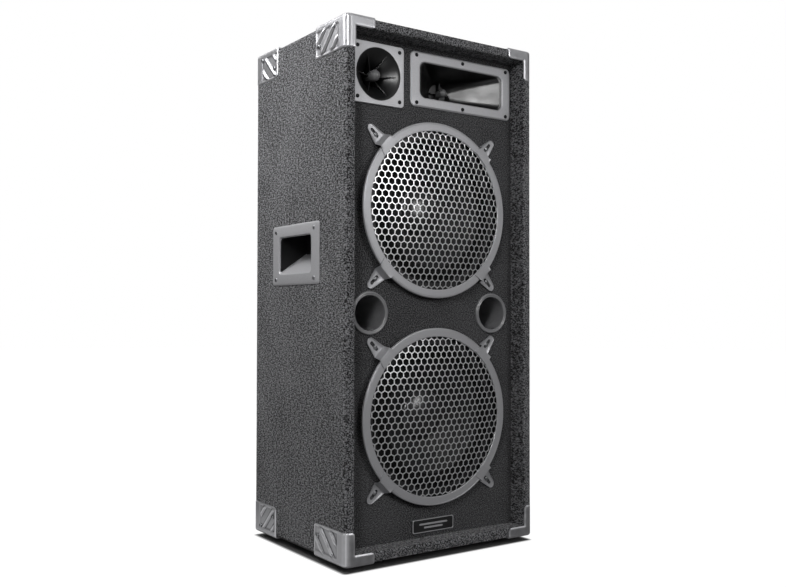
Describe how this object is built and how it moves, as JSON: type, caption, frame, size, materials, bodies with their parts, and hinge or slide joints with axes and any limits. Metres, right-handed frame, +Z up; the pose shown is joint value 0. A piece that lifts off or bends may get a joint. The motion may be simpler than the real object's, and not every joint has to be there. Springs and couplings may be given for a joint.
{
  "type": "pa speaker cabinet",
  "caption": "Floor-standing PA speaker cabinet with woofers behind round hex-mesh grilles, tweeter, midrange horn, bass ports, steel corners, carpet covering and side handles.",
  "frame": {"origin": "on the floor under the middle of the box", "axes": "+Z up, the baffle faces -Y, +X to the right seen from the front"},
  "size_m": [0.3636, 0.291, 0.803],
  "materials": {
    "board": "raw chipboard",
    "side_carpet": "needle-felt speaker carpet, heather grey",
    "baffle_carpet": "needle-felt speaker carpet, near black",
    "plated_steel": "satin nickel-plated pressed steel",
    "handle": "silver-grey painted pressing",
    "rubber": "matt",
    "basket_steel": "black stove-enamelled pressed steel",
    "foam": "matt foam",
    "paper": "pressed paper pulp",
    "cloth": "resin-dipped cotton",
    "copper": "lacquered winding",
    "ferrite": "matt ceramic magnet",
    "zinc_steel": "zinc plated",
    "grille_steel": "silver-grey coated perforated steel",
    "silver_plastic": "silver-grey moulding",
    "black_plastic": "black moulding",
    "port_plastic": "dark grey moulding",
    "badge": "dark plate",
    "red_plastic": "red moulding",
    "circuit_board": "circuit board"
  },
  "bodies": {
    "cabinet": {"left_panel": "board", "right_panel": "board", "top_panel": "board", "bottom_panel": "board", "back_panel": "board", "front_baffle": "board", "cabinet_carpet": "side_carpet", "baffle_carpet": "baffle_carpet", "corner_front_top_left": "plated_steel", "corner_front_top_right": "plated_steel", "corner_front_bottom_left": "plated_steel", "corner_front_bottom_right": "plated_steel", "corner_rear_top_left": "plated_steel", "corner_rear_top_right": "plated_steel", "corner_rear_bottom_left": "plated_steel", "corner_rear_bottom_right": "plated_steel", "handle_left": "handle", "handle_right": "handle", "foot_front_left": "rubber", "foot_front_right": "rubber", "foot_rear_left": "rubber", "foot_rear_right": "rubber", "woofer_upper_basket": "basket_steel", "woofer_upper_surround": "foam", "woofer_upper_spider": "cloth", "woofer_upper_magnet": "ferrite", "woofer_upper_yoke": "zinc_steel", "grille_upper": "grille_steel", "clamp_upper_top_right": "plated_steel", "clamp_upper_top_left": "plated_steel", "clamp_upper_bottom_left": "plated_steel", "clamp_upper_bottom_right": "plated_steel", "woofer_lower_basket": "basket_steel", "woofer_lower_surround": "foam", "woofer_lower_spider": "cloth", "woofer_lower_magnet": "ferrite", "woofer_lower_yoke": "zinc_steel", "grille_lower": "grille_steel", "clamp_lower_top_right": "plated_steel", "clamp_lower_top_left": "plated_steel", "clamp_lower_bottom_left": "plated_steel", "clamp_lower_bottom_right": "plated_steel", "tweeter_horn": "silver_plastic", "tweeter_driver": "black_plastic", "midrange_horn": "silver_plastic", "midrange_driver": "ferrite", "port_left": "port_plastic", "port_right": "port_plastic", "badge_plate": "badge", "terminal_cup": "black_plastic", "jack_sockets": "zinc_steel", "crossover_board": "circuit_board"},
    "cone_upper": {"woofer_upper_cone": "paper", "woofer_upper_dust_cap": "paper", "woofer_upper_voice_coil": "copper"},
    "cone_lower": {"woofer_lower_cone": "paper", "woofer_lower_dust_cap": "paper", "woofer_lower_voice_coil": "copper"},
    "lever_red": {"terminal_lever_red": "red_plastic"},
    "lever_black": {"terminal_lever_black": "black_plastic"}
  },
  "joints": [
    {"name": "woofer_upper_travel", "type": "slide", "parent": "cabinet", "child": "cone_upper", "axis": [0, -1, 0], "range_m": [-0.004, 0.004], "stiffness_N_per_m": 2200, "deforming": ["woofer_upper_surround", "woofer_upper_spider"]},
    {"name": "woofer_lower_travel", "type": "slide", "parent": "cabinet", "child": "cone_lower", "axis": [0, -1, 0], "range_m": [-0.004, 0.004], "stiffness_N_per_m": 2200, "deforming": ["woofer_lower_surround", "woofer_lower_spider"]},
    {"name": "lever_red_press", "type": "hinge", "parent": "cabinet", "child": "lever_red", "pos_m": [0.012, 0.1282, 0.3415], "axis": [1, 0, 0], "range_deg": [0, 20], "stiffness_Nm_per_rad": 0.15},
    {"name": "lever_black_press", "type": "hinge", "parent": "cabinet", "child": "lever_black", "pos_m": [-0.012, 0.1282, 0.3415], "axis": [1, 0, 0], "range_deg": [0, 20], "stiffness_Nm_per_rad": 0.15}
  ]
}
